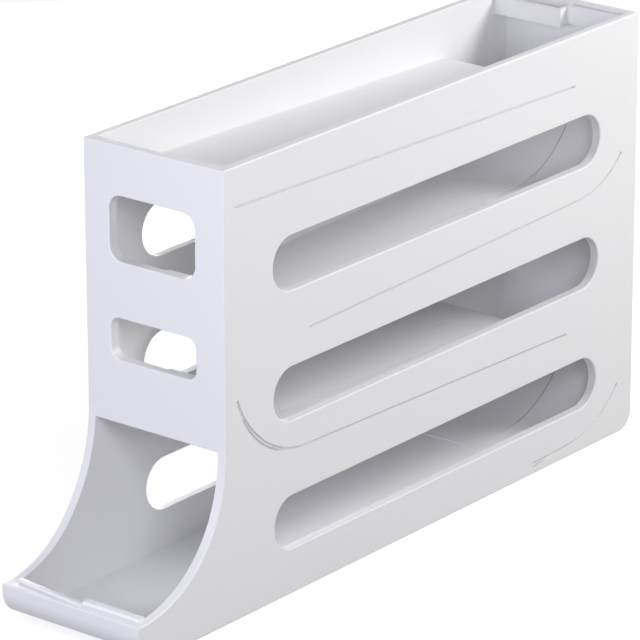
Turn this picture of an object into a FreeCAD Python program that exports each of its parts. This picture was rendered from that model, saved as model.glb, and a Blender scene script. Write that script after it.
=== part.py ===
"""Rolling egg dispenser: a free-standing white plastic box, four lanes high and one egg wide.

Eggs go in at the open top, roll down four gently sloping lanes that turn at alternate ends, and
come to rest in an open tray at the front.  The box is two injection-moulded half shells that
meet on a seam a little right of the middle.  Each half is drawn here as the panels, lanes and
joining features it is moulded from, each one a solid that touches its neighbours face to face.

Frame: millimetres, +Z up, +Y towards the back, +X to the right seen from the front.  The origin
is the middle of the underside.
"""
import math
import os

import FreeCAD
import Part
from FreeCAD import Vector

SIZES = [
    ("width", 80, "outer width over both side panels"),
    ("height", 211.6, "underside to top rim"),
    ("body_length", 310, "front panel to back panel, outside"),
    ("tray_length", 60, "how far the egg tray stands out in front"),
    ("wall", 4.4, "side panel thickness"),
    ("back_wall", 4, "back panel thickness"),
    ("seam", 3.7, "plane on which the two half shells meet"),
    ("rim_round", 0.9, "rounding of the outer edges"),
    ("edge_round", 0.7, "rounding of inner rims and of the cut-outs"),
    ("front_bottom", 81, "lower edge of the front panel"),
    ("front_left_side", 5.7, "front panel thickness, left half at its side panel"),
    ("front_left_seam", 4, "front panel thickness, left half at the seam"),
    ("front_right_seam", 5.6, "front panel thickness, right half at the seam"),
    ("front_right_side", 6.6, "front panel thickness, right half at its side panel"),
    ("window_width", 49, "both front windows"),
    ("window_offset", 1.2, "middle of both front windows, left of the middle of the box"),
    ("upper_window_bottom", 157.7, "lower edge of the upper window"),
    ("upper_window_tall", 30.4, "height of the upper window"),
    ("upper_window_round", 7, "corner radius of the upper window"),
    ("lower_window_bottom", 111.5, "lower edge of the lower window"),
    ("lower_window_tall", 19.5, "height of the lower window"),
    ("lower_window_round", 5, "corner radius of the lower window"),
    ("slot_length", 246, "side slots, end to end"),
    ("slot_tall", 25.6, "side slots, height"),
    ("slot_front", 33.5, "front panel to the front end of a side slot"),
    ("slot_centre", 34.7, "centre height of the lowest side slot"),
    ("slot_pitch", 61.4, "height from one side slot to the next"),
    ("sweep_left_top", 87, "height at which the left side panel starts to sweep forward"),
    ("sweep_right_top", 83, "the same for the right side panel"),
    ("sweep_radius", 75, "upper radius of that sweep"),
    ("lip_flat", 1.6, "level stretch of the side panel on top of the lip"),
    ("lip_top", 19.2, "top of the tray lip"),
    ("lip_left_bead", 1, "height of the bead along the inside of the lip, left half"),
    ("lip_right_bead", 1.4, "the same for the right half"),
    ("lip_left_bead_width", 3.3, "width of that bead, left half"),
    ("lip_right_bead_width", 4.6, "the same for the right half"),
    ("lip_left_side", 9.2, "lip thickness, left half at its side panel"),
    ("lip_left_seam", 5.2, "lip thickness, left half at the seam"),
    ("lip_right_seam", 9.1, "lip thickness, right half at the seam"),
    ("lip_right_side", 9.1, "lip thickness, right half at its side panel"),
    ("lip_cove", 6, "inner radius at the foot of the lip"),
    ("toe_round", 12, "outer radius where the face of the lip turns under"),
    ("toe_sweep", 37, "larger radius that carries this turn on to the flat underside"),
    ("toe_reach", 24, "face of the lip to the start of the flat underside"),
    ("heel_round", 9, "outer radius at the bottom of the back"),
    ("floor_front", 2, "floor thickness in the tray"),
    ("floor_rear", 4.8, "floor thickness where the lowest lane leaves it"),
    ("floor_skin", 2.4, "floor thickness under the lowest bend"),
    ("lane_slope", 2.55, "fall of the lanes, in percent"),
    ("upper_nose", 133.4, "free end of the upper lane, behind the middle"),
    ("upper_level", 187.5, "height of the upper lane at that end"),
    ("middle_nose", -66.6, "free end of the middle lane, in front of the middle"),
    ("middle_level", 124.5, "height of the middle lane at that end"),
    ("middle_bend_run", 203.6, "middle lane's straight run"),
    ("middle_bend", 50, "radius of its bend up the back"),
    ("lower_nose", 129.6, "free end of the lower lane, behind the middle"),
    ("lower_level", 64.5, "height of the lower lane at that end"),
    ("lower_bend_run", 202.6, "lower lane's straight run"),
    ("lower_bend", 46, "radius of its bend up the front"),
    ("lower_root", 95.5, "height at which that bend joins the front panel"),
    ("lower_crest", 107.5, "top of that bend, just under the lower window"),
    ("return_start", 103.5, "where the lowest lane leaves the floor"),
    ("return_level", 6, "its height there"),
    ("return_bend_run", 27.5, "its straight run"),
    ("return_bend", 55, "radius of its bend up the back"),
    ("lane_seam", 2.4, "lane thickness at the seam"),
    ("lane_side", 4.2, "lane thickness at the side panels"),
    ("lane_gap", 0.5, "gap between the two halves of a lane"),
    ("return_sunk", 0.7, "top of the lowest lane below the line it is set out on"),
    ("return_thick", 2.4, "thickness of the lowest lane"),
    ("rail_tall", 9.2, "height of the rail inside the back rim"),
    ("rail_thick", 2, "thickness of that rail"),
    ("rail_right_inset", 4.3, "right rail's face in front of the back panel's inner face"),
    ("rail_left_inset", 9.9, "the same for the left rail"),
    ("rail_right_drop", 1.2, "right rail's top below the rim"),
    ("rail_left_drop", 2.1, "left rail's top below the rim"),
    ("groove_deep", 1.4, "depth of the witness grooves outside each lane"),
    ("groove_wide", 1.15, "width of the witness grooves"),
    ("groove_draft", 0.1, "how far each side of those grooves leans in over their depth"),
    ("groove_upper_end", 6.8, "front face to the far end of the upper groove"),
    ("groove_lower_end", 8.6, "front face to the far end of the lower groove"),
    ("groove_rear_end", 13, "back face to the far end of the other two grooves"),
    ("groove_crescent", 1.6, "how far the lower lane's second groove cuts inside its bend"),
    ("groove_lead", 12, "how far ahead of the bend that second groove starts"),
    ("groove_drop", 1.9, "lowest lane's second groove below the first, at its free end"),
    ("pin_radius", 1.5, "locating pins"),
    ("pin_reach", 6, "how far a pin stands out of its boss"),
    ("pin_tip", 0.8, "length of its tapered tip"),
    ("pin_point", 1, "radius at the end of that tip"),
    ("pin_front", -40, "front pin of each lane, in front of the middle"),
    ("pin_back", 95, "back pin of each lane, behind the middle"),
    ("socket_radius", 1.56, "bores that take the pins"),
    ("boss_radius", 3.2, "bosses that carry pins and bores"),
    ("boss_length", 8, "length of each boss"),
    ("boss_gap", 0.4, "lane's underside to the top of a boss"),
    ("snap_wide", 8, "width of a snap tab"),
    ("snap_thick", 1.6, "thickness of a snap tab"),
    ("snap_hook", 2.6, "length of the hook on a snap tab"),
    ("snap_root", 7, "how far a snap tab starts inside its own half"),
    ("snap_window", 1.3, "seam to the near edge of a snap window"),
    ("snap_play", 0.3, "room round the hook in its window"),
    ("snap_trim", 0.15, "stock on a snap tab that is trimmed off along the lane"),
    ("snap_place", 116, "distance of the snap tabs behind the middle"),
]

doc = FreeCAD.newDocument("EggDispenser")
sheet = doc.addObject("Spreadsheet::Sheet", "Size")
for row, (alias, value, note) in enumerate(SIZES, start=1):
    sheet.set(f"A{row}", note)
    sheet.set(f"B{row}", str(value))
    sheet.setAlias(f"B{row}", alias)
doc.recompute()


def size(alias):
    """A driving size, read from the sheet."""
    return float(getattr(sheet, alias))


# Planes of the frame that several pieces share.
SIDE_OUT = size("width") / 2
SIDE_IN = SIDE_OUT - size("wall")
SEAM = size("seam")
BACK_OUT = (size("body_length") + size("tray_length")) / 2
BACK_IN = BACK_OUT - size("back_wall")
LIP_OUT = -BACK_OUT
FRONT_OUT = BACK_OUT - size("body_length")
TOP = size("height")

# Slack when an edge is picked by where it lies.
NEAR = 1

# Each half: name, x of its side panel's inner face, x of its lanes' free edges.
HALVES = {
    "left": (-SIDE_IN, SEAM - size("lane_gap") / 2),
    "right": (SIDE_IN, SEAM + size("lane_gap") / 2),
}

# Room between the seam and a side panel: lowest x and width, as expressions on the sheet.
SPANS = {
    "left": ("Size.wall - Size.width / 2", "Size.width / 2 - Size.wall + Size.seam"),
    "right": ("Size.seam", "Size.width / 2 - Size.wall - Size.seam"),
}


class Pen:
    """Draws one closed outline of straight lines and arcs in a sketch."""

    def __init__(self, sketch, u, v):
        self.sketch = sketch
        self.start = self.here = (u, v)
        self.first = None

    def _add(self, geometry, u, v):
        index = self.sketch.addGeometry(geometry, False)
        self.first = index if self.first is None else self.first
        self.here = (u, v)

    def line(self, u, v):
        if math.dist(self.here, (u, v)) > 1e-6:
            self._add(Part.LineSegment(Vector(*self.here, 0), Vector(u, v, 0)), u, v)

    def arc(self, centre_u, centre_v, u, v, turn):
        """Arc about a centre to (u, v); turn is +1 anticlockwise or -1 clockwise."""
        radius = math.dist((centre_u, centre_v), self.here)
        circle = Part.Circle(Vector(centre_u, centre_v, 0), Vector(0, 0, 1), radius)
        begin = math.atan2(self.here[1] - centre_v, self.here[0] - centre_u)
        end = math.atan2(v - centre_v, u - centre_u)
        if turn < 0:
            begin, end = end, begin
        if end <= begin:
            end += 2 * math.pi
        self._add(Part.ArcOfCircle(circle, begin, end), u, v)

    def arc_through(self, middle, end):
        """Arc from here to an end by way of a middle point."""
        corners = [Vector(u, v, 0) for u, v in (self.here, middle, end)]
        self._add(Part.Arc(*corners), *end)

    def close(self):
        self.line(*self.start)


def new_body(label):
    body = doc.addObject("PartDesign::Body", label)
    body.Label = label
    return body


def new_sketch(body, label, plane, offset=None):
    """A sketch on one of the body's own origin planes, moved along the plane's normal."""
    sketch = body.newObject("Sketcher::SketchObject", label)
    support = next(item for item in body.Origin.OriginFeatures if item.Role == plane)
    sketch.AttachmentSupport = [(support, "")]
    sketch.MapMode = "FlatFace"
    if offset is not None:
        sketch.setExpression("AttachmentOffset.Base.z", offset)
    return sketch


def pad(body, sketch, length):
    feature = body.newObject("PartDesign::Pad", sketch.Name + "Pad")
    feature.Profile = sketch
    feature.setExpression("Length", length)
    sketch.Visibility = False
    return feature


def pocket_through(body, sketch):
    """Cuts a sketch right through the body and checks that it took material away."""
    doc.recompute()
    before = body.Shape.Volume
    feature = body.newObject("PartDesign::Pocket", sketch.Name + "Pocket")
    feature.Profile = sketch
    feature.Type = "ThroughAll"
    feature.Midplane = True
    doc.recompute()
    if body.Shape.Volume > before - 1:
        raise RuntimeError(f"{feature.Label} cuts nothing")
    return feature


def round_edges(body, radius, chosen):
    """Fillets each edge of the body's present shape that chosen(middle, box) accepts."""
    doc.recompute()
    base = body.Tip
    names = []
    for number, edge in enumerate(base.Shape.Edges, start=1):
        middle = edge.valueAt((edge.FirstParameter + edge.LastParameter) / 2)
        if edge.Length > 1e-3 and chosen(middle, edge.BoundBox):
            names.append(f"Edge{number}")
    if not names:
        raise RuntimeError(f"no edge of {body.Label} to round")
    feature = body.newObject("PartDesign::Fillet", body.Name + "Round")
    feature.Base = (base, names)
    feature.setExpression("Radius", radius)
    doc.recompute()
    return feature


def close_to(a, b, tolerance=0.01):
    return abs(a - b) < tolerance


def flat_at(low, high, place):
    """True when an edge's box from low to high is thin and lies at place."""
    return close_to(low, place) and close_to(high, place)


def toe_curve(face, small, skin):
    """The two arcs under the lip: centre of the small one, where they meet, the large centre.

    The small arc leaves an upright face and the large one runs out level; skin is how far the
    curve lies inside the underside.
    """
    large = size("toe_sweep") - skin
    centre = (LIP_OUT + size("toe_reach"), size("toe_sweep"))
    across = centre[0] - face - small
    nub = (face + small, centre[1] - math.sqrt((large - small) ** 2 - across ** 2))
    share = large / (large - small)
    meet = [a + (b - a) * share for a, b in zip(centre, nub)]
    return nub, meet, centre


def side_outline(sketch, half):
    """Side of the box: heel and toe rounded, the front edge swept down and out to the lip."""
    heel, lip_top, sweep_top = size("heel_round"), size("lip_top"), size(f"sweep_{half}_top")
    nub, meet, under = toe_curve(LIP_OUT, size("toe_round"), 0)
    upper = size("sweep_radius")
    foot = LIP_OUT + size("lip_flat")
    upper_centre = (FRONT_OUT - upper, sweep_top)
    ahead = foot - upper_centre[0]
    down = sweep_top - lip_top
    lower = (upper ** 2 - ahead ** 2 - down ** 2) / (2 * (upper - down))
    lower_centre = (foot, lip_top + lower)
    share = upper / (upper - lower)
    joint = [a + (b - a) * share for a, b in zip(upper_centre, lower_centre)]
    pen = Pen(sketch, under[0], 0)
    pen.line(BACK_OUT - heel, 0)
    pen.arc(BACK_OUT - heel, heel, BACK_OUT, heel, 1)
    pen.line(BACK_OUT, TOP)
    pen.line(FRONT_OUT, TOP)
    pen.line(FRONT_OUT, sweep_top)
    pen.arc(*upper_centre, *joint, -1)
    pen.arc(*lower_centre, foot, lip_top, -1)
    pen.line(LIP_OUT, lip_top)
    pen.line(LIP_OUT, nub[1])
    pen.arc(*nub, *meet, 1)
    pen.arc(*under, under[0], 0, 1)


class Lane:
    """Path of one lane, seen from the side, from its free end uphill to where it stops.

    heading is +1 when it climbs towards the back, -1 when it climbs towards the front.  Depth is
    measured square to the lane, down from the line where its top meets the side panel.
    """

    def __init__(self, name, heading, bend=None):
        slope = math.atan(size("lane_slope") / 100)
        self.name, self.heading = name, heading
        self.along = (math.cos(slope), math.sin(slope))
        self.down = (math.sin(slope), -math.cos(slope))
        start = "_start" if name == "return" else "_nose"
        self.nose, self.level = size(name + start), size(name + "_level")
        self.bend = size(bend) if bend else None
        self.run = size(bend + "_run") if bend else None
        self.root = (size("lower_root"), size("lower_crest")) if name == "lower" else None

    def place(self, point):
        """From distance along and height to the frame's y and z."""
        return self.nose + self.heading * point[0], point[1]

    def on_line(self, reach, depth):
        """Point of the straight run at a horizontal distance from the free end."""
        step = (reach - depth * self.down[0]) / self.along[0]
        return reach, self.level + step * self.along[1] + depth * self.down[1]

    def bend_start(self, depth):
        top = self.on_line(self.run, 0)
        return tuple(a + depth * b for a, b in zip(top, self.down))

    def bend_centre(self):
        return self.bend_start(-self.bend)

    def on_bend(self, reach, depth):
        centre, radius = self.bend_centre(), self.bend + depth
        return reach, centre[1] - math.sqrt(radius ** 2 - (reach - centre[0]) ** 2)

    def bend_at(self, height, depth):
        """Point of the bend at a given height."""
        centre, radius = self.bend_centre(), self.bend + depth
        return centre[0] + math.sqrt(radius ** 2 - (height - centre[1]) ** 2), height

    def inside_bend(self, reach, inset):
        """Middle of the bend as far as a horizontal distance, moved in towards its centre."""
        centre, radius = self.bend_centre(), self.bend - inset
        begin, end = (math.atan2(v - centre[1], u - centre[0])
                      for u, v in (self.bend_start(0), self.on_bend(reach, 0)))
        angle = (begin + end) / 2
        return centre[0] + radius * math.cos(angle), centre[1] + radius * math.sin(angle)

    def height(self, y, depth):
        """Height of the straight run at a place along the frame's y."""
        return self.on_line((y - self.nose) * self.heading, depth)[1]

    def outline(self, sketch, top, bottom, stop):
        """Closed section between two depths, ended square by a wall at y = stop."""
        reach = (stop - self.nose) * self.heading
        turn = self.heading
        if self.name == "return":
            low, high = self.on_line(0, bottom), self.on_line(0, top)
        else:
            middle = (top + bottom) / 2
            centre = [(bottom - top) / 2 * a + middle * b for a, b in zip(self.along, self.down)]
            centre[1] += self.level
            low = [a + (bottom - top) / 2 * b for a, b in zip(centre, self.down)]
            high = [a - (bottom - top) / 2 * b for a, b in zip(centre, self.down)]
        pen = Pen(sketch, *self.place(low))
        if self.bend:
            middle = self.place(self.bend_centre())
            pen.line(*self.place(self.bend_start(bottom)))
            if self.root:
                root, crest = self.root
                pen.arc(*middle, *self.place(self.bend_at(root, bottom)), turn)
                pen.line(*self.place((reach, root)))
                pen.line(*self.place((reach, crest)))
                pen.line(*self.place(self.bend_at(crest, top)))
            else:
                pen.arc(*middle, *self.place(self.on_bend(reach, bottom)), turn)
                pen.line(*self.place(self.on_bend(reach, top)))
            pen.arc(*middle, *self.place(self.bend_start(top)), -turn)
        else:
            pen.line(*self.place(self.on_line(reach, bottom)))
            pen.line(*self.place(self.on_line(reach, top)))
        pen.line(*self.place(high))
        if self.name != "return":
            pen.arc(*self.place(centre), *self.place(low), turn)
        pen.close()


LANES = {
    "upper": Lane("upper", -1),
    "middle": Lane("middle", 1, "middle_bend"),
    "lower": Lane("lower", -1, "lower_bend"),
    "return": Lane("return", 1, "return_bend"),
}

# Where the witness groove outside each lane ends: y at its free end and at its far end.
GROOVE_ENDS = {
    "upper": (size("upper_nose"), FRONT_OUT + size("groove_upper_end")),
    "middle": (size("middle_nose"), BACK_OUT - size("groove_rear_end")),
    "lower": (size("lower_nose"), FRONT_OUT + size("groove_lower_end")),
    "return": (size("return_start"), BACK_OUT - size("groove_rear_end")),
}


def cut_groove(body, side, label, start, draw):
    """Narrow witness groove whose two sides lean in slightly.

    draw takes a pen that stands at the start of the groove's upper edge and draws that edge.
    """
    spine = new_sketch(body, label + "Path", "YZ_Plane", f"{side:.0f} * Size.width / 2")
    draw(Pen(spine, *start))
    y, height = start
    profile = new_sketch(body, label + "Profile", "XZ_Plane", str(-y))
    proud = 0.2
    pen = Pen(profile, side * (SIDE_OUT + proud), height)
    pen.line(side * SIDE_OUT, height)
    pen.line(side * (SIDE_OUT - size("groove_deep")), height - size("groove_draft"))
    pen.line(side * (SIDE_OUT - size("groove_deep")),
             height - size("groove_wide") + size("groove_draft"))
    pen.line(side * SIDE_OUT, height - size("groove_wide"))
    pen.line(side * (SIDE_OUT + proud), height - size("groove_wide"))
    pen.close()
    doc.recompute()
    before = body.Shape.Volume
    feature = body.newObject("PartDesign::SubtractivePipe", label)
    feature.Profile = profile
    feature.Spine = (spine, [])
    doc.recompute()
    if body.Shape.Volume > before - 1:
        raise RuntimeError(f"{feature.Label} cuts nothing")


def cut_lane_grooves(body, side, lane):
    """The groove along a lane, and the second one that the two lowest lanes have."""
    near, far = GROOVE_ENDS[lane.name]
    reach = abs(far - lane.nose)
    start = lane.place(lane.on_line(abs(near - lane.nose), 0))

    def follow_lane(pen):
        if lane.bend:
            pen.line(*lane.place(lane.bend_start(0)))
            pen.arc(*lane.place(lane.bend_centre()), *lane.place(lane.on_bend(reach, 0)),
                    lane.heading)
        else:
            pen.line(*lane.place(lane.on_line(reach, 0)))

    def cross_bend(pen):
        middle = lane.place(lane.inside_bend(reach, size("groove_crescent")))
        pen.arc_through(middle, lane.place(lane.on_bend(reach, 0)))

    def run_level(pen):
        pen.line(*lane.place(lane.bend_start(0)))

    cut_groove(body, side, lane.name + "Groove", start, follow_lane)
    if lane.name == "lower":
        ahead = lane.place(lane.on_line(lane.run - size("groove_lead"), 0))
        cut_groove(body, side, "lowerSecondGroove", ahead, cross_bend)
    if lane.name == "return":
        below = (start[0], start[1] - size("groove_drop"))
        cut_groove(body, side, "returnSecondGroove", below, run_level)


def round_inner_rim(body, half):
    """Rounds the side panel's inner top edge between the front and back panels."""
    side = math.copysign(1, HALVES[half][0])
    front = FRONT_OUT + size(f"front_{half}_side")
    sketch = new_sketch(body, "InnerRim", "XZ_Plane", str(-front))
    radius = size("edge_round")
    pen = Pen(sketch, side * SIDE_IN, TOP)
    pen.line(side * (SIDE_IN + radius), TOP)
    pen.arc(side * (SIDE_IN + radius), TOP - radius, side * SIDE_IN, TOP - radius, side)
    pen.close()
    cut = body.newObject("PartDesign::Pocket", "InnerRimCut")
    cut.Profile = sketch
    cut.Length = BACK_IN - front
    doc.recompute()


def make_side_panel(half):
    """Outer wall of one half, with its three slots, swept front edge and witness grooves."""
    side = math.copysign(1, HALVES[half][0])
    body = new_body(f"{half}_side_panel")
    outer = side * SIDE_OUT
    offset = "Size.width / 2 - Size.wall" if side > 0 else "-Size.width / 2"
    outline = new_sketch(body, "Outline", "YZ_Plane", offset)
    side_outline(outline, half)
    pad(body, outline, "Size.wall")

    slot = new_sketch(body, "Slot", "YZ_Plane", offset)
    radius, centre = size("slot_tall") / 2, size("slot_centre")
    front = FRONT_OUT + size("slot_front")
    back = front + size("slot_length")
    pen = Pen(slot, front + radius, centre - radius)
    pen.line(back - radius, centre - radius)
    pen.arc(back - radius, centre, back - radius, centre + radius, 1)
    pen.line(front + radius, centre + radius)
    pen.arc(front + radius, centre, front + radius, centre - radius, 1)
    lowest = pocket_through(body, slot)
    slots = body.newObject("PartDesign::LinearPattern", "Slots")
    slots.Originals = [lowest]
    slots.Direction = (slot, ["V_Axis"])
    slots.setExpression("Length", "2 * Size.slot_pitch")
    slots.Occurrences = 3
    body.Tip = slots

    def in_slot(box):
        along = box.YMin > front - NEAR and box.YMax < back + NEAR
        return along and box.ZMin > NEAR and box.ZMax < TOP - NEAR

    round_edges(body, "Size.edge_round",
                lambda middle, box: flat_at(box.XMin, box.XMax, outer) and in_slot(box))

    def on_rim(middle, box):
        across = box.XLength > size("wall") - NEAR and close_to(middle.z, TOP)
        lip = flat_at(box.YMin, box.YMax, LIP_OUT) and close_to(middle.z, size("lip_top"))
        return across or lip or (flat_at(box.XMin, box.XMax, outer) and not in_slot(box))

    round_edges(body, "Size.rim_round", on_rim)
    round_inner_rim(body, half)
    for lane in LANES.values():
        cut_lane_grooves(body, side, lane)
    return body


def make_front_panel(half):
    """A half's share of the front, drawn thinner towards the seam, with both windows."""
    inner = HALVES[half][0]
    body = new_body(f"{half}_front_panel")
    plan = new_sketch(body, "Plan", "XY_Plane", "Size.front_bottom")
    thick_side, thick_seam = size(f"front_{half}_side"), size(f"front_{half}_seam")
    pen = Pen(plan, SEAM, FRONT_OUT)
    pen.line(inner, FRONT_OUT)
    pen.line(inner, FRONT_OUT + thick_side)
    pen.line(SEAM, FRONT_OUT + thick_seam)
    pen.close()
    pad(body, plan, "Size.height - Size.front_bottom")
    windows = new_sketch(body, "Windows", "XZ_Plane")
    for name in ("upper", "lower"):
        radius = size(name + "_window_round")
        left = -size("window_width") / 2 - size("window_offset")
        right = left + size("window_width")
        low = size(name + "_window_bottom")
        high = low + size(name + "_window_tall")
        pen = Pen(windows, left + radius, low)
        pen.line(right - radius, low)
        pen.arc(right - radius, low + radius, right, low + radius, 1)
        pen.line(right, high - radius)
        pen.arc(right - radius, high - radius, right - radius, high, 1)
        pen.line(left + radius, high)
        pen.arc(left + radius, high - radius, left, high - radius, 1)
        pen.line(left, low + radius)
        pen.arc(left + radius, low + radius, left + radius, low, 1)
    pocket_through(body, windows)

    def on_front(box):
        return flat_at(box.YMin, box.YMax, FRONT_OUT)

    def soft(middle, box):
        end = flat_at(box.XMin, box.XMax, SEAM) or flat_at(box.XMin, box.XMax, inner)
        front_face = on_front(box) and middle.z < TOP - NEAR
        behind = middle.y > FRONT_OUT + NEAR and box.XLength > box.YLength
        return not end and (front_face or (behind and close_to(middle.z, TOP)))

    round_edges(body, "Size.edge_round", soft)
    round_edges(body, "Size.rim_round",
                lambda middle, box: on_front(box) and close_to(middle.z, TOP))
    return body


def make_back_panel(half):
    """A half's share of the back, down round the heel, with the rail inside its rim.

    The left rail stands further in, and a web closes the channel behind it at the seam.
    """
    body = new_body(f"{half}_back_panel")
    low_x, span = SPANS[half]
    sketch = new_sketch(body, "Profile", "YZ_Plane", low_x)
    heel, rim, edge = size("heel_round"), size("rim_round"), size("edge_round")
    back_wall = size("back_wall")
    face = BACK_IN - size(f"rail_{half}_inset")
    rear = face + size("rail_thick")
    crown = TOP - size(f"rail_{half}_drop")
    foot = crown - size("rail_tall")
    web = foot + size("rail_thick")
    nose = size("rail_thick") / 2
    pen = Pen(sketch, BACK_OUT - heel, 0)
    pen.arc(BACK_OUT - heel, heel, BACK_OUT, heel, 1)
    pen.line(BACK_OUT, TOP - rim)
    pen.arc(BACK_OUT - rim, TOP - rim, BACK_OUT - rim, TOP, 1)
    pen.line(BACK_IN + edge, TOP)
    pen.arc(BACK_IN + edge, TOP - edge, BACK_IN, TOP - edge, 1)
    pen.line(BACK_IN, web)
    pen.line(rear, web)
    pen.line(rear, crown - nose)
    pen.arc(face + nose, crown - nose, face, crown - nose, 1)
    pen.line(face, foot)
    pen.line(BACK_IN, foot)
    pen.line(BACK_IN, heel)
    pen.arc(BACK_OUT - heel, heel, BACK_OUT - heel, back_wall, -1)
    pen.close()
    pad(body, sketch, span)
    if half == "left":
        closing = new_sketch(body, "RailEnd", "YZ_Plane", "Size.seam - Size.rail_thick")
        pen = Pen(closing, rear, web)
        pen.line(BACK_IN, web)
        pen.line(BACK_IN, crown)
        pen.line(face + nose, crown)
        pen.arc(face + nose, crown - nose, rear, crown - nose, -1)
        pen.close()
        pad(body, closing, "Size.rail_thick")
    return body


def make_floor(half):
    """A half's share of the floor, flat below and rising gently from the tray to the back."""
    body = new_body(f"{half}_floor")
    low_x, span = SPANS[half]
    sketch = new_sketch(body, "Profile", "YZ_Plane", low_x)
    front = LIP_OUT + size("toe_reach")
    leave = size("return_start")
    pen = Pen(sketch, front, 0)
    pen.line(BACK_OUT - size("heel_round"), 0)
    pen.line(BACK_OUT - size("heel_round"), size("floor_skin"))
    pen.line(leave, size("floor_skin"))
    pen.line(leave, size("floor_rear"))
    pen.line(FRONT_OUT, size("floor_front"))
    pen.line(front, size("floor_front"))
    pen.close()
    pad(body, sketch, span)
    return body


def lip_outline(sketch, thick, bead, bead_width):
    """Section of the tray lip: rounded toe, flat top and a low bead along its inner edge."""
    rim, top, soft = size("rim_round"), size("lip_top"), size("edge_round")
    inner = LIP_OUT + thick
    bead_top = top + bead
    bead_foot = inner - bead_width
    nub, meet, under = toe_curve(LIP_OUT, size("toe_round"), 0)
    cove, inner_meet, _ = toe_curve(inner, size("lip_cove"), size("floor_front"))
    pen = Pen(sketch, under[0], 0)
    pen.line(under[0], size("floor_front"))
    pen.arc(*under, *inner_meet, -1)
    pen.arc(*cove, inner, cove[1], -1)
    pen.line(inner, bead_top - soft)
    pen.arc(inner - soft, bead_top - soft, inner - soft, bead_top, 1)
    pen.line(bead_foot + soft, bead_top)
    pen.line(bead_foot, top)
    pen.line(LIP_OUT + rim, top)
    pen.arc(LIP_OUT + rim, top - rim, LIP_OUT, top - rim, 1)
    pen.line(LIP_OUT, nub[1])
    pen.arc(*nub, *meet, 1)
    pen.arc(*under, under[0], 0, 1)
    pen.close()


def loft(body, sketches):
    feature = body.newObject("PartDesign::AdditiveLoft", "Loft")
    feature.Profile = sketches[0]
    feature.Sections = sketches[1:]
    feature.Ruled = True
    doc.recompute()
    return feature


def make_tray_lip(half):
    body = new_body(f"{half}_tray_lip")
    ends = []
    for place, x in (("seam", SEAM), ("side", HALVES[half][0])):
        sketch = new_sketch(body, place.capitalize(), "YZ_Plane", str(x))
        lip_outline(sketch, size(f"lip_{half}_{place}"), size(f"lip_{half}_bead"),
                    size(f"lip_{half}_bead_width"))
        ends.append(sketch)
    loft(body, ends)
    return body


def make_lane(half, lane):
    """One half of a lane, thinner towards the seam, with a window for the other half's snap."""
    body = new_body(f"{half}_{lane.name}_lane")
    side_x, free_x = HALVES[half]
    inset = (size("lane_side") - size("lane_seam")) / 2
    if lane.name == "return":
        sunk = size("return_sunk")
        depths = dict.fromkeys(("side", "seam"), (sunk, sunk + size("return_thick")))
    else:
        depths = {"side": (0, size("lane_side")), "seam": (inset, size("lane_side") - inset)}
    ends = []
    for place, x in (("seam", free_x), ("side", side_x)):
        sketch = new_sketch(body, place.capitalize(), "YZ_Plane", str(x))
        stop = BACK_IN if lane.heading > 0 else FRONT_OUT + size(f"front_{half}_{place}")
        lane.outline(sketch, *depths[place], stop)
        ends.append(sketch)
    loft(body, ends)
    if half == "right" and lane.name != "return":
        play, wide = size("snap_play"), size("snap_wide") / 2
        near = SEAM + size("snap_window")
        far = near + size("snap_hook") + 2 * play
        window = new_sketch(body, "SnapWindow", "XY_Plane")
        pen = Pen(window, near, size("snap_place") - wide - play)
        pen.line(far, size("snap_place") - wide - play)
        pen.line(far, size("snap_place") + wide + play)
        pen.line(near, size("snap_place") + wide + play)
        pen.close()
        pocket_through(body, window)
    return body


def block(label, low, high):
    """A box between two opposite corners."""
    item = doc.addObject("Part::Box", label)
    item.Length, item.Width, item.Height = (b - a for a, b in zip(low, high))
    item.Placement.Base = Vector(*low)
    return item


def bar(label, x, y, z, radius, length):
    """A cylinder lying along +X; radius and length are names in the sheet."""
    item = doc.addObject("Part::Cylinder", label)
    item.setExpression("Radius", "Size." + radius)
    item.setExpression("Height", "Size." + length)
    item.Placement = FreeCAD.Placement(Vector(x, y, z), FreeCAD.Rotation(Vector(0, 1, 0), 90))
    return item


def fuse(label, items):
    item = doc.addObject("Part::MultiFuse", label)
    item.Shapes = items
    return item


def cut(label, base, tool):
    item = doc.addObject("Part::Cut", label)
    item.Base, item.Tool = base, tool
    return item


def group(label, items):
    """Like pieces of one half, kept as separate solids of one node."""
    item = doc.addObject("Part::Compound", label)
    item.Links = items
    item.Label = label
    return item


def pin_places():
    """Each lane's two joining points: lane, y and the height of the pin's axis."""
    depth = (size("lane_side") + size("lane_seam")) / 2 + size("boss_gap") + size("boss_radius")
    for lane in list(LANES.values())[:3]:
        for y in (size("pin_front"), size("pin_back")):
            yield lane, y, lane.height(y, depth)


def boss(label, x, y, z):
    """Round boss under a lane, with a square neck that runs up into the lane."""
    radius, length = size("boss_radius"), size("boss_length")
    top = z + radius + size("boss_gap") + size("lane_seam") / 2
    round_part = bar(label + "Round", x, y, z, "boss_radius", "boss_length")
    neck = block(label + "Neck", (x, y - radius, z), (x + length, y + radius, top))
    return [round_part, neck]


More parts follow.
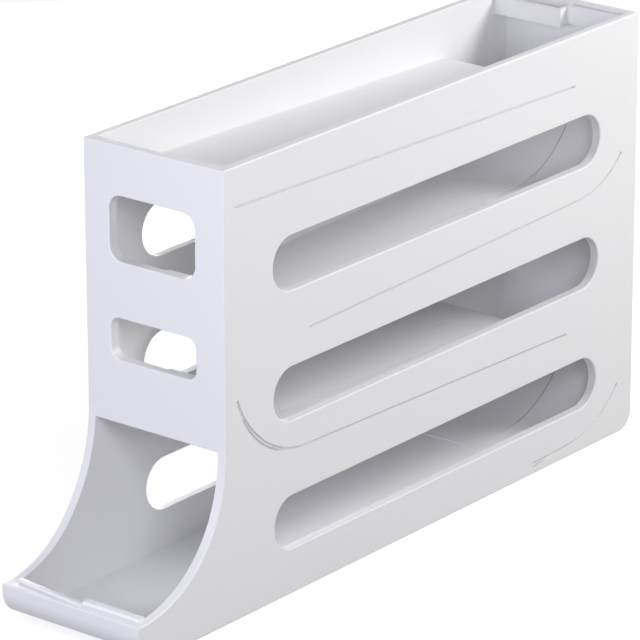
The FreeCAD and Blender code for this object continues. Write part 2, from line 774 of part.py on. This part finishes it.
def make_locating_pins(lane_bodies):
    """Left half's six pins, each on a boss under the free edge of a lane."""
    pins = []
    free_x = HALVES["left"][1]
    for number, (lane, y, z) in enumerate(pin_places(), start=1):
        name = f"Pin{number}"
        tip = doc.addObject("Part::Cone", name + "Tip")
        tip.setExpression("Radius1", "Size.pin_radius")
        tip.setExpression("Radius2", "Size.pin_point")
        tip.setExpression("Height", "Size.pin_tip")
        tip.Placement = FreeCAD.Placement(Vector(free_x + size("pin_reach"), y, z),
                                          FreeCAD.Rotation(Vector(0, 1, 0), 90))
        shank = bar(name + "Shank", free_x, y, z, "pin_radius", "pin_reach")
        whole = fuse(name + "Whole", boss(name, free_x - size("boss_length"), y, z) + [shank, tip])
        pins.append(cut(name, whole, lane_bodies[lane.name]))
    return group("left_locating_pins", pins)


def make_pin_sockets(lane_bodies):
    """Right half's six bored bosses that take the pins."""
    sockets = []
    free_x = HALVES["right"][1]
    for number, (lane, y, z) in enumerate(pin_places(), start=1):
        name = f"Socket{number}"
        whole = fuse(name + "Whole", boss(name, free_x, y, z))
        bore = bar(name + "Bore", free_x, y, z, "socket_radius", "boss_length")
        sockets.append(cut(name, cut(name + "Bored", whole, bore), lane_bodies[lane.name]))
    return group("right_pin_sockets", sockets)


def make_snap_tabs(left_lanes, right_lanes):
    """Left half's three tabs: each reaches under the right lane and hooks up into its window."""
    tabs = []
    half_wide, thick = size("snap_wide") / 2, size("snap_thick")
    y = size("snap_place")
    start = SEAM - size("snap_root")
    hook_start = SEAM + size("snap_window") + size("snap_play")
    end = hook_start + size("snap_hook")
    inset = (size("lane_side") - size("lane_seam")) / 2
    for lane in list(LANES.values())[:3]:
        name = lane.name.capitalize() + "Snap"
        under = lane.height(y, size("lane_side") - inset)
        top = lane.height(y, inset)
        trim = size("snap_trim")
        plate = block(name + "Plate", (start, y - half_wide, under - thick - trim),
                      (end, y + half_wide, under + trim))
        hook = block(name + "Hook", (hook_start, y - half_wide, under - thick),
                     (end, y + half_wide, top - size("snap_play")))
        whole = fuse(name + "Whole", [plate, hook])
        trimmed = cut(name + "Trimmed", whole, left_lanes[lane.name])
        tabs.append(cut(name, trimmed, right_lanes[lane.name]))
    return group("left_snap_tabs", tabs)


nodes = []
lanes = {}
for half in HALVES:
    nodes.append(make_side_panel(half))
    nodes.append(make_front_panel(half))
    nodes.append(make_back_panel(half))
    nodes.append(make_floor(half))
    nodes.append(make_tray_lip(half))
    lanes[half] = {name: make_lane(half, lane) for name, lane in LANES.items()}
    nodes += lanes[half].values()
nodes.append(make_locating_pins(lanes["left"]))
nodes.append(make_pin_sockets(lanes["right"]))
nodes.append(make_snap_tabs(lanes["left"], lanes["right"]))

doc.recompute()
for item in doc.Objects:
    if "Invalid" in item.State or "Error" in item.State:
        raise RuntimeError(f"{item.Label} failed: {item.State}")

os.makedirs("parts", exist_ok=True)
for node in nodes:
    shape = node.Shape
    if shape.isNull() or not shape.isValid():
        raise RuntimeError(f"{node.Label} has no sound shape")
    shape.exportStep(f"parts/{node.Label}.step")
    box = shape.BoundBox
    print(f"{node.Label:22s} {shape.Volume:9.0f} mm3  {len(shape.Solids)} solid"
          f"  y {box.YMin:7.1f} {box.YMax:7.1f}  z {box.ZMin:6.1f} {box.ZMax:6.1f}")
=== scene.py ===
import math

import bpy
from bpy.props import FloatProperty, FloatVectorProperty, PointerProperty
from bpy.types import Operator, Panel, PropertyGroup
from mathutils import Matrix, Vector


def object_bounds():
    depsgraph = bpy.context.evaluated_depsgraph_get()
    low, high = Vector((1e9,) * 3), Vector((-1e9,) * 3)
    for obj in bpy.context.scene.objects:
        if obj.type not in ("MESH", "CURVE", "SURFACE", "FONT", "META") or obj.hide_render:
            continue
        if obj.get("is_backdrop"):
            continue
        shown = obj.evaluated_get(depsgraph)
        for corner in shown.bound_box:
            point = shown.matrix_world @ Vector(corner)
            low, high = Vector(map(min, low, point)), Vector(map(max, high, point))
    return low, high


bl_info = {
    "name": "Rolling egg dispenser",
    "version": (1, 0, 0),
    "blender": (4, 5, 0),
    "location": "3D View > Sidebar > Egg dispenser",
    "description": "Gives a moulded white egg dispenser its finish and sets up its studio",
    "category": "Object",
}

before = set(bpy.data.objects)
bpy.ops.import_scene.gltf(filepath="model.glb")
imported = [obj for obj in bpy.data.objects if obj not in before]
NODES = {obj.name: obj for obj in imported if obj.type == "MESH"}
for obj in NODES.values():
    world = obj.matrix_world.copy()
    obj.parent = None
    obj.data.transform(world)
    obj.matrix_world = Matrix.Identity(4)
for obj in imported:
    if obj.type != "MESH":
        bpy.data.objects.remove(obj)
CAD_LOW, CAD_HIGH = (Vector(corner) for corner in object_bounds())
CENTRE = (CAD_LOW + CAD_HIGH) / 2
LENGTH = CAD_HIGH.y - CAD_LOW.y

WHITE = (1, 1, 1)

# Plastic: scales of its noises, per metre, from the slowest to the finest.
DRIFT_SCALE = 9.0
PATCH_SCALE = 17.0
WAVE_SCALE = 26.0
POLISH_SCALE = 42.0
PEEL_SCALE = 900.0
RUB_STRETCH = (420.0, 14.0, 420.0)
# Plastic: how much the noises change it.
DRIFT_SHADE = 0.975
RUB_SHADE = 0.86
POLISH_ROUGHNESS = 0.1
RUB_ROUGHNESS = 0.2
WAVE_HEIGHT = 0.00025
PLASTIC_IOR = 1.5
# Plastic: noise values between which a rub mark fades in, across its lines and over its patches.
RUB_LINE_EDGES = (0.6, 0.8)
RUB_PATCH_EDGES = (0.5, 0.72)
# Added to the walls' roughness, and how strongly each group is rubbed.
LANE_EXTRA = 0.06
JOINING_EXTRA = 0.1
WALL_MARKS = 0.25
LANE_MARKS = 0.8
JOINING_MARKS = 0.4

# Studio, in lengths of the dispenser unless a comment says otherwise.
FLOOR_SIZE = 30
FLOOR_GAP = 0.0002  # metres below the dispenser
PAPER_SHADE = 0.4  # reflectance
GLOW_NEAR, GLOW_FAR = 1.5, 4
GLOW_LOW, GLOW_HIGH = 0.78, 0.96  # brightness of the paper's glow
AIM_LIFT = 0.2
# Each lamp's setting for its power, its place from the middle, its size and its colour.
LAMPS = (
    ("key", (1.45, -1.3, 0.92), 0.8, (0.95, 0.95, 1.0)),
    ("side", (1.3, 1.2, 1.1), 0.7, (1.0, 0.98, 0.965)),
    ("front", (-0.3, -2.5, 0.7), 1.2, (0.84, 0.835, 1.0)),
    ("fill", (-1.9, 1.5, 0.15), 0.8, (1.0, 1.0, 1.0)))
SENSOR_WIDTH = 36  # millimetres
CLIP_END = 50  # metres

# Groups of like pieces, by the ending of their names.
SIDE_PANELS = ("_side_panel",)
END_PANELS = ("_front_panel", "_back_panel", "_tray_lip")
LANES = ("_lane", "_floor")
JOINING = ("_pins", "_sockets", "_tabs")


# ---------------------------------------------------------------------------------- shader maths


class Value:
    """A shader socket that Python's arithmetic works on."""

    def __init__(self, wiring, socket):
        self.wiring, self.socket = wiring, socket

    def _maths(self, operation, first, second):
        return self.wiring.add("ShaderNodeMath", {"operation": operation}, {0: first, 1: second})

    def __add__(self, other):
        return self._maths("ADD", self, other)

    def __mul__(self, other):
        return self._maths("MULTIPLY", self, other)

    def at_least(self, other):
        return self._maths("MAXIMUM", self, other)


class Wiring:
    """The node tree of a material or a world. add() makes any node and gives one of its outputs."""

    def __init__(self, owner):
        owner.use_nodes = True
        self.owner = owner
        self.tree = owner.node_tree
        self.tree.nodes.clear()

    def add(self, kind, settings=None, sockets=None, output=0):
        node = self.tree.nodes.new(kind)
        for name, value in (settings or {}).items():
            setattr(node, name, value)
        for key, value in (sockets or {}).items():
            if isinstance(value, Value):
                self.tree.links.new(value.socket, node.inputs[key])
            else:
                node.inputs[key].default_value = value
        return Value(self, node.outputs[output]) if len(node.outputs) else None

    def place(self):
        """Object coordinates, in metres."""
        return self.add("ShaderNodeTexCoord", output="Object")

    def stretched(self, place, scale):
        return self.add("ShaderNodeMapping", sockets={"Vector": place, "Scale": scale})

    def noise(self, place, scale, detail=3.0, rough=0.5):
        return self.add("ShaderNodeTexNoise", sockets={
            "Vector": place, "Scale": scale, "Detail": detail, "Roughness": rough})

    def between(self, value, low, high):
        """The value mapped from low..high to 0..1, and held there."""
        return self.add("ShaderNodeMapRange", {"interpolation_type": "SMOOTHSTEP"}, {
            "Value": value, "From Min": low, "From Max": high})

    def tint(self, factor, first, second):
        return self.add("ShaderNodeMix", {"data_type": "RGBA"}, {
            "Factor": factor, "A": first, "B": second}, output="Result")

    def bump(self, height, distance, under=None):
        sockets = {"Height": height, "Distance": distance}
        if under is not None:
            sockets["Normal"] = under
        return self.add("ShaderNodeBump", sockets=sockets)

    def seen_directly(self):
        """1 for the camera and for what mirrors and glass show, 0 for light falling on things."""
        kinds = ("Is Camera Ray", "Is Glossy Ray", "Is Transmission Ray")
        camera, mirror, glass = (self.add("ShaderNodeLightPath", output=kind) for kind in kinds)
        return camera.at_least(mirror).at_least(glass)

    def distance(self):
        """Distance from the object's origin, in metres."""
        return self.add(
            "ShaderNodeVectorMath", {"operation": "LENGTH"}, {0: self.place()}, output="Value")

    def choose(self, factor, first, second):
        return self.add("ShaderNodeMixShader", sockets={0: factor, 1: first, 2: second})


def rgba(colour, share=1.0):
    return (*(channel * share for channel in colour), 1.0)


def moulded_plastic(name, colour, gloss, marks, grain):
    """White moulded plastic: soft colour drift, uneven polish, faint rub marks and fine grain."""
    plastic = Wiring(bpy.data.materials.new(name))
    place = plastic.place()
    drift = plastic.noise(place, DRIFT_SCALE, detail=2.0)
    polish = plastic.noise(place, POLISH_SCALE, detail=4.0, rough=0.6)
    rub_lines = plastic.noise(plastic.stretched(place, RUB_STRETCH), 1.0, detail=2.0)
    rub_patch = plastic.between(plastic.noise(place, PATCH_SCALE, detail=2.0), *RUB_PATCH_EDGES)
    rubbed = plastic.between(rub_lines, *RUB_LINE_EDGES) * rub_patch * marks
    clean = plastic.tint(drift, rgba(colour), rgba(colour, DRIFT_SHADE))
    waves = plastic.noise(place, WAVE_SCALE, detail=1.0)
    peel = plastic.noise(place, PEEL_SCALE, detail=2.0)
    body = plastic.add("ShaderNodeBsdfPrincipled", sockets={
        "Base Color": plastic.tint(rubbed, clean, rgba(colour, RUB_SHADE)),
        "Roughness": polish * POLISH_ROUGHNESS + rubbed * RUB_ROUGHNESS + gloss,
        "Normal": plastic.bump(peel, grain, plastic.bump(waves, WAVE_HEIGHT)),
        "IOR": PLASTIC_IOR})
    plastic.add("ShaderNodeOutputMaterial", sockets={"Surface": body})
    return plastic.owner


def dress(endings, material):
    """Puts a material on every CAD node whose name has one of the endings."""
    found = [NODES[name] for name in sorted(NODES) if name.endswith(endings)]
    if not found:
        raise RuntimeError(f"no node ends with {endings}")
    for node in found:
        for slot in node.material_slots:
            slot.material = material


# ------------------------------------------------------------------------------- sizes and colours


class DispenserFinish(PropertyGroup):
    """Colours and gloss of the moulded plastic."""

    shell: FloatVectorProperty(
        name="Shell", description="Colour of the walls", subtype="COLOR",
        default=(0.86, 0.862, 0.875), min=0, max=1)
    lane: FloatVectorProperty(
        name="Lanes", description="Colour of the lanes and the floor", subtype="COLOR",
        default=(0.85, 0.852, 0.862), min=0, max=1)
    gloss: FloatProperty(
        name="Roughness", description="Lowest roughness of the outer walls",
        default=0.36, min=0, max=1, subtype="FACTOR")
    grain: FloatProperty(
        name="Grain", description="Depth of the fine surface grain",
        default=0.000012, min=0, max=0.001, unit="LENGTH")


class DispenserStudio(PropertyGroup):
    """The camera's place, angles and lens, and the powers of the lamps."""

    turn: FloatProperty(
        name="Turn", description="Camera's angle round the dispenser, from straight in front",
        default=math.radians(38.70), subtype="ANGLE")
    tilt: FloatProperty(
        name="Tilt", description="Camera's angle above the horizontal",
        default=math.radians(20.00), subtype="ANGLE")
    roll: FloatProperty(
        name="Roll", description="Camera's roll", default=math.radians(-0.15), subtype="ANGLE")
    lens: FloatProperty(
        name="Lens", description="Focal length on a 36 mm sensor", default=262.7, unit="CAMERA")
    spot: FloatVectorProperty(
        name="Camera place", description="Where the camera stands", subtype="XYZ", unit="LENGTH",
        default=(1.2591, -1.5807, 0.8348))
    key: FloatProperty(
        name="Key lamp", description="Power of the lamp above the front right corner",
        default=2.0, min=0, unit="POWER")
    side: FloatProperty(
        name="Side lamp", description="Power of the lamp on the right, towards the back",
        default=3.22, min=0, unit="POWER")
    front: FloatProperty(
        name="Front lamp", description="Power of the cool lamp in front",
        default=3.77, min=0, unit="POWER")
    fill: FloatProperty(
        name="Fill lamp", description="Power of the lamp on the left, towards the back",
        default=4.0, min=0, unit="POWER")
    room: FloatProperty(
        name="Room light", description="Strength of the light from all round", default=0.25, min=0)


# ----------------------------------------------------------------------------------- the operators


class FinishSidePanels(Operator):
    """Give both side panels their polished outer finish"""

    bl_idname = "egg_dispenser.finish_side_panels"
    bl_label = "Side panels"

    def execute(self, context):
        look = context.scene.dispenser_finish
        dress(SIDE_PANELS, moulded_plastic(
            "side_panel_plastic", look.shell, look.gloss, WALL_MARKS, look.grain))
        return {"FINISHED"}


class FinishEndPanels(Operator):
    """Give the front, the back and the tray lip their finish"""

    bl_idname = "egg_dispenser.finish_end_panels"
    bl_label = "Front, back and lip"

    def execute(self, context):
        look = context.scene.dispenser_finish
        dress(END_PANELS, moulded_plastic(
            "end_panel_plastic", look.shell, look.gloss, WALL_MARKS, look.grain))
        return {"FINISHED"}


class FinishLanes(Operator):
    """Give the lanes and the floor their finish, faintly rubbed where eggs roll"""

    bl_idname = "egg_dispenser.finish_lanes"
    bl_label = "Lanes and floor"

    def execute(self, context):
        look = context.scene.dispenser_finish
        dress(LANES, moulded_plastic(
            "lane_plastic", look.lane, look.gloss + LANE_EXTRA, LANE_MARKS, look.grain))
        return {"FINISHED"}


class FinishJoining(Operator):
    """Give the pins, sockets and snap tabs their finish"""

    bl_idname = "egg_dispenser.finish_joining"
    bl_label = "Pins, sockets and tabs"

    def execute(self, context):
        look = context.scene.dispenser_finish
        dress(JOINING, moulded_plastic(
            "joining_plastic", look.lane, look.gloss + JOINING_EXTRA, JOINING_MARKS, look.grain))
        return {"FINISHED"}


def add_lamp(name, place, target, size, power, colour):
    lamp = bpy.data.lights.new(name, "AREA")
    lamp.shape = "DISK"
    lamp.size = size
    lamp.energy = power
    lamp.color = colour
    item = bpy.data.objects.new(name, lamp)
    item.location = place
    item.rotation_euler = (Vector(target) - Vector(place)).to_track_quat("-Z", "Y").to_euler()
    bpy.context.scene.collection.objects.link(item)


class SetStage(Operator):
    """Set up the floor, the room light, the lamps and the camera"""

    bl_idname = "egg_dispenser.set_stage"
    bl_label = "Stage"

    def execute(self, context):
        studio = context.scene.dispenser_studio
        self.make_floor()
        self.make_room(context, studio)
        self.make_lamps(studio)
        self.make_camera(context, studio)
        return {"FINISHED"}

    def make_floor(self):
        bpy.ops.mesh.primitive_plane_add(
            size=FLOOR_SIZE * LENGTH, location=(0, 0, CAD_LOW.z - FLOOR_GAP))
        floor = bpy.context.object
        floor.name = "floor"
        paper = Wiring(bpy.data.materials.new("floor_paper"))
        sheet = paper.add("ShaderNodeBsdfDiffuse", sockets={"Color": rgba(WHITE, PAPER_SHADE)})
        far = paper.between(paper.distance(), GLOW_NEAR * LENGTH, GLOW_FAR * LENGTH)
        white = paper.tint(far, rgba(WHITE, GLOW_LOW), rgba(WHITE, GLOW_HIGH))
        glow = paper.add("ShaderNodeEmission", sockets={"Color": white, "Strength": 1.0})
        bright = paper.add("ShaderNodeAddShader", sockets={0: sheet, 1: glow})
        shown = paper.choose(paper.seen_directly(), sheet, bright)
        paper.add("ShaderNodeOutputMaterial", sockets={"Surface": shown})
        floor.data.materials.append(paper.owner)
        floor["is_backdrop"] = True

    def make_room(self, context, studio):
        room = Wiring(bpy.data.worlds.new("studio_room"))
        light = room.add(
            "ShaderNodeBackground", sockets={"Color": rgba(WHITE), "Strength": studio.room})
        white = room.add("ShaderNodeBackground", sockets={"Color": rgba(WHITE), "Strength": 1.0})
        shown = room.choose(room.seen_directly(), light, white)
        room.add("ShaderNodeOutputWorld", sockets={"Surface": shown})
        context.scene.world = room.owner

    def make_lamps(self, studio):
        aim = CENTRE + Vector((0, 0, AIM_LIFT)) * LENGTH
        for name, place, size, colour in LAMPS:
            spot = CENTRE + Vector(place) * LENGTH
            add_lamp(f"{name}_lamp", spot, aim, size * LENGTH, getattr(studio, name), colour)

    def make_camera(self, context, studio):
        camera = bpy.data.cameras.new("studio_camera")
        camera.sensor_width = SENSOR_WIDTH
        camera.lens = studio.lens
        camera.clip_end = CLIP_END
        item = bpy.data.objects.new("studio_camera", camera)
        turn = Matrix.Rotation(studio.turn, 4, "Z")
        tilt = Matrix.Rotation(math.pi / 2 - studio.tilt, 4, "X")
        roll = Matrix.Rotation(studio.roll, 4, "Z")
        item.matrix_world = Matrix.Translation(Vector(studio.spot)) @ turn @ tilt @ roll
        context.scene.collection.objects.link(item)
        context.scene.camera = item
        context.scene.view_settings.view_transform = "Standard"


class DispenserPanel(Panel):
    """Lists the dispenser's operators and settings"""

    bl_idname = "VIEW3D_PT_egg_dispenser"
    bl_label = "Egg dispenser"
    bl_space_type = "VIEW_3D"
    bl_region_type = "UI"
    bl_category = "Egg dispenser"

    def draw(self, context):
        for operator in OPERATORS:
            self.layout.operator(operator.bl_idname)
        for group in (context.scene.dispenser_finish, context.scene.dispenser_studio):
            for name in group.__annotations__:
                self.layout.prop(group, name)


GROUPS = (DispenserFinish, DispenserStudio)
OPERATORS = (FinishSidePanels, FinishEndPanels, FinishLanes, FinishJoining, SetStage)


def register():
    for item in GROUPS + OPERATORS + (DispenserPanel,):
        bpy.utils.register_class(item)
    bpy.types.Scene.dispenser_finish = PointerProperty(type=DispenserFinish)
    bpy.types.Scene.dispenser_studio = PointerProperty(type=DispenserStudio)


def unregister():
    del bpy.types.Scene.dispenser_finish
    del bpy.types.Scene.dispenser_studio
    for item in reversed(GROUPS + OPERATORS + (DispenserPanel,)):
        bpy.utils.unregister_class(item)


def main():
    register()
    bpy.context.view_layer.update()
    bpy.ops.object.select_all(action="DESELECT")
    bpy.ops.egg_dispenser.finish_side_panels()
    bpy.ops.egg_dispenser.finish_end_panels()
    bpy.ops.egg_dispenser.finish_lanes()
    bpy.ops.egg_dispenser.finish_joining()
    bpy.ops.egg_dispenser.set_stage()


if __name__ == "__main__":
    main()
